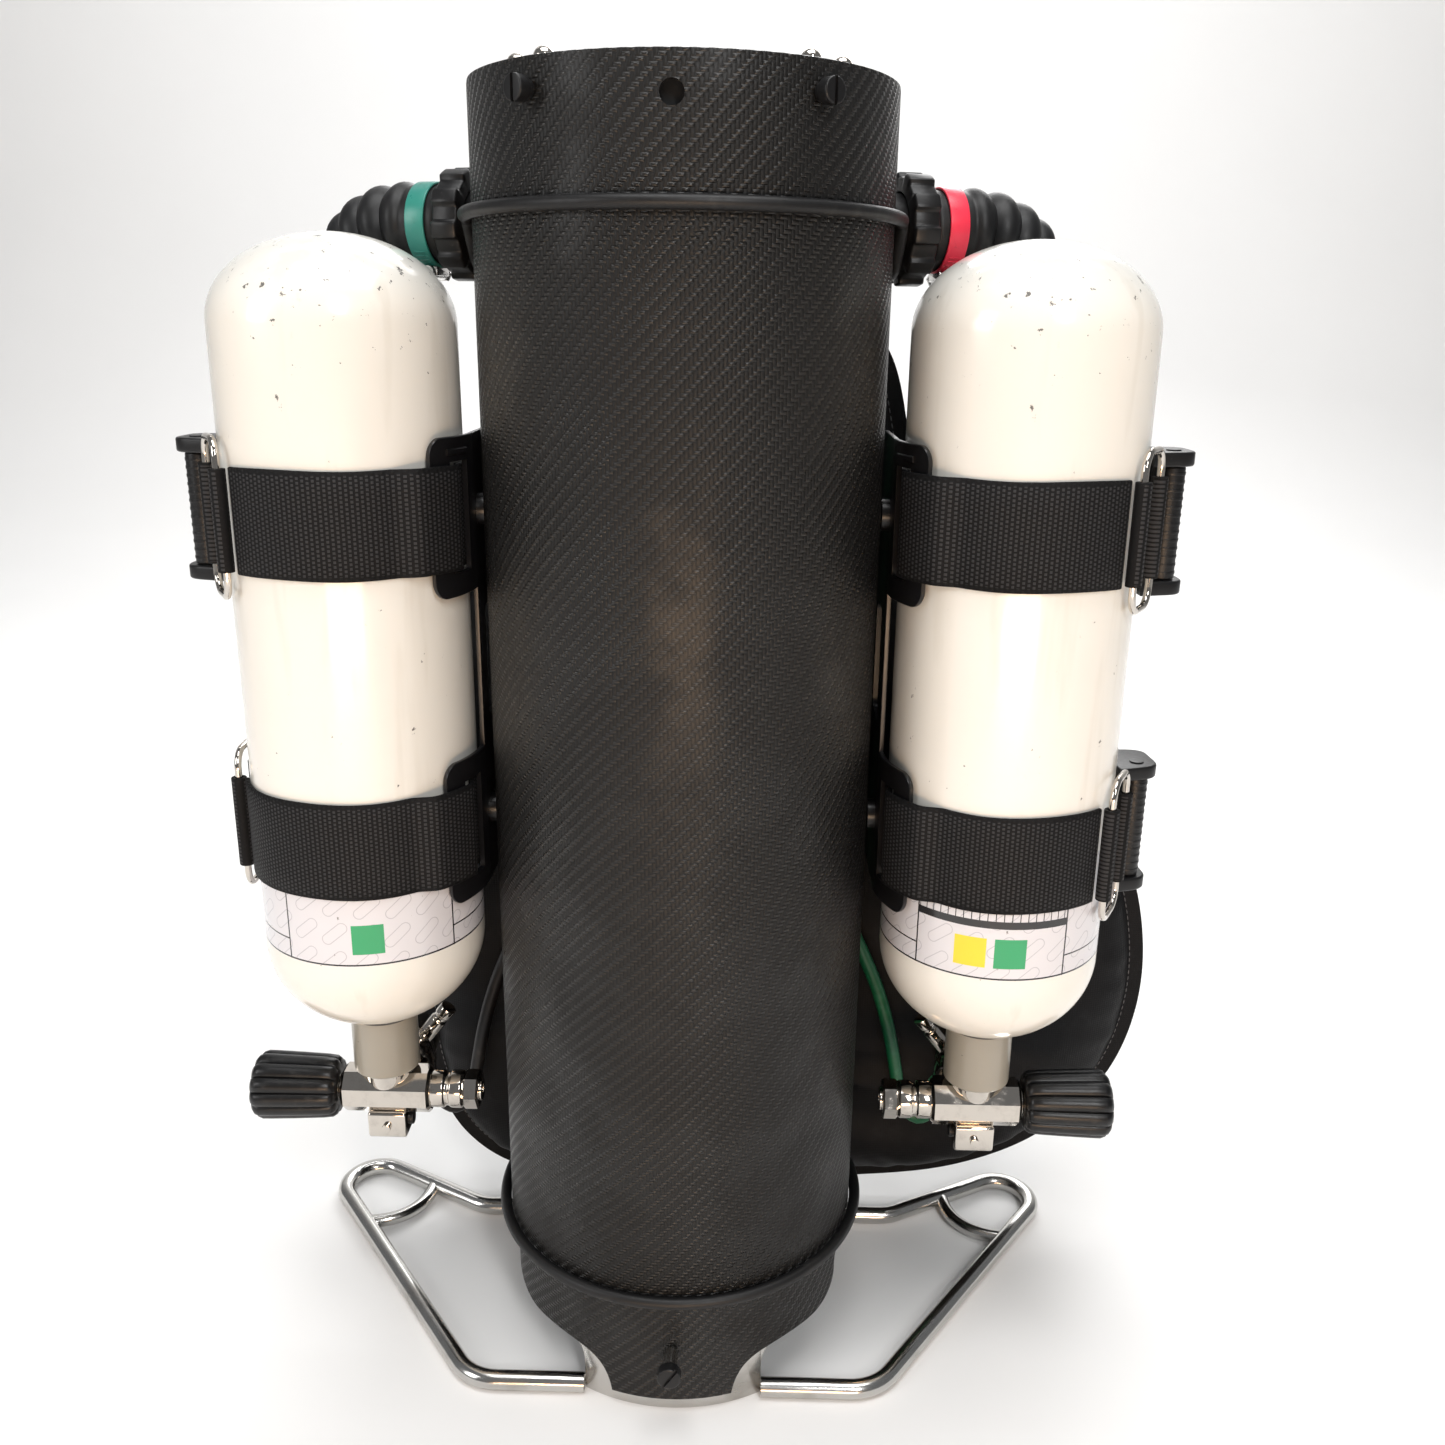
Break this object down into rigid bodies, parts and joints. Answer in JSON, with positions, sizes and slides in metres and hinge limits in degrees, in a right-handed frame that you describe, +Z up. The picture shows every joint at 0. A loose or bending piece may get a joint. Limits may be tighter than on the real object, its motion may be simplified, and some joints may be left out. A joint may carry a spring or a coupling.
{
  "type": "diving rebreather pack",
  "caption": "Closed-circuit diving rebreather: woven-fibre tube housing on a rod stand, gas cylinders strapped to its sides, hose ports at the top, wing and backplate behind.",
  "frame": {"origin": "on the floor, below the middle of the part measured without its breathing hoses and mouthpiece", "axes": "+Z up along the tube, +X towards the oxygen side, +Y towards the wearer's back"},
  "size_m": [0.5324, 0.3286, 0.6634],
  "materials": {
    "carbon": "clear-coated woven fibre tube, glossy",
    "rubber": "black, satin",
    "green_rubber": "green hose cover, satin",
    "stainless": "polished stainless steel",
    "chrome": "polished chrome plate",
    "black_plastic": "black, lightly textured",
    "canister_plastic": "pale moulded plastic",
    "absorbent": "pale granules",
    "white_paint": "cream-white gloss enamel with chips",
    "black_sheet": "black powder coat, satin",
    "webbing": "black woven webbing",
    "wing_fabric": "black coated nylon",
    "bag_fabric": "dark coated fabric",
    "red_clamp": "red, glossy",
    "teal_clamp": "blue-green, glossy"
  },
  "bodies": {
    "frame": {"oxygen_hose": "green_rubber", "diluent_hose": "rubber", "housing_tube": "carbon", "upper_rubber_ring": "rubber", "lower_rubber_ring": "rubber", "stand_collar": "stainless", "base_screw": "black_plastic", "base_spacer": "stainless", "head": "black_plastic", "scrubber_canister": "canister_plastic", "absorbent_cartridge": "absorbent", "counterlung": "bag_fabric", "oxygen_sensor": "black_plastic", "solenoid_valve": "black_plastic", "hose_clamp_right": "red_clamp", "hose_clamp_left": "teal_clamp", "mouthpiece": "black_plastic", "wing": "wing_fabric", "backplate": "black_sheet", "dome_nut_1": "chrome", "dome_nut_2": "chrome", "dome_nut_3": "chrome", "dome_nut_4": "chrome", "stand_bar_left": "stainless", "stand_brace_left": "stainless", "top_screw_left": "black_plastic", "breathing_hose_left": "rubber", "cylinder_left": "white_paint", "valve_body_left": "chrome", "first_stage_left": "chrome", "bracket_left": "black_sheet", "strap_upper_left": "webbing", "strap_ring_upper_left": "chrome", "buckle_frame_upper_left": "black_plastic", "strap_lower_left": "webbing", "strap_ring_lower_left": "chrome", "buckle_frame_lower_left": "black_plastic", "stand_bar_right": "stainless", "stand_brace_right": "stainless", "top_screw_right": "black_plastic", "breathing_hose_right": "rubber", "cylinder_right": "white_paint", "valve_body_right": "chrome", "first_stage_right": "chrome", "bracket_right": "black_sheet", "strap_upper_right": "webbing", "strap_ring_upper_right": "chrome", "buckle_frame_upper_right": "black_plastic", "strap_lower_right": "webbing", "strap_ring_lower_right": "chrome", "buckle_frame_lower_right": "black_plastic"},
    "handwheel_left": {"handwheel_left": "rubber"},
    "handwheel_right": {"handwheel_right": "rubber"},
    "nut_left": {"hose_nut_left": "black_plastic"},
    "nut_right": {"hose_nut_right": "black_plastic"},
    "mouthpiece_lever": {"mouthpiece_lever": "black_plastic"},
    "lever_upper_left": {"buckle_lever_upper_left": "black_plastic"},
    "lever_upper_right": {"buckle_lever_upper_right": "black_plastic"},
    "lever_lower_left": {"buckle_lever_lower_left": "black_plastic"},
    "lever_lower_right": {"buckle_lever_lower_right": "black_plastic"}
  },
  "joints": [
    {"name": "handwheel_right_turn", "type": "hinge", "parent": "frame", "child": "handwheel_right", "pos_m": [0.14582, -0.0067, 0.138], "axis": [1, 0, 0], "range_deg": [0, 900]},
    {"name": "handwheel_left_turn", "type": "hinge", "parent": "frame", "child": "handwheel_left", "pos_m": [-0.18518, -0.0067, 0.138], "axis": [-1, 0, 0], "range_deg": [0, 900]},
    {"name": "buckle_upper_right_open", "type": "hinge", "parent": "frame", "child": "lever_upper_right", "pos_m": [0.21636, -0.00847, 0.465], "axis": [0, 0, -1], "range_deg": [0, 100]},
    {"name": "buckle_lower_right_open", "type": "hinge", "parent": "frame", "child": "lever_lower_right", "pos_m": [0.21636, -0.00477, 0.306], "axis": [0, 0, -1], "range_deg": [0, 100]},
    {"name": "buckle_upper_left_open", "type": "hinge", "parent": "frame", "child": "lever_upper_left", "pos_m": [-0.25572, -0.00847, 0.465], "axis": [0, 0, 1], "range_deg": [0, 100]},
    {"name": "buckle_lower_left_open", "type": "hinge", "parent": "frame", "child": "lever_lower_left", "pos_m": [-0.24883, 0.02375, 0.306], "axis": [0, 0, 1], "range_deg": [0, 100]},
    {"name": "hose_nut_right_turn", "type": "hinge", "parent": "frame", "child": "nut_right", "pos_m": [0.08871, 0.03438, 0.6], "axis": [0.9613, 0.2756, 0], "range_deg": [0, 360]},
    {"name": "hose_nut_left_turn", "type": "hinge", "parent": "frame", "child": "nut_left", "pos_m": [-0.12806, 0.03438, 0.6], "axis": [-0.9613, 0.2756, 0], "range_deg": [0, 360]},
    {"name": "mouthpiece_shutoff", "type": "hinge", "parent": "frame", "child": "mouthpiece_lever", "pos_m": [-0.01968, 0.1613, 0.352], "axis": [1, 0, 0], "range_deg": [0, 90]}
  ]
}
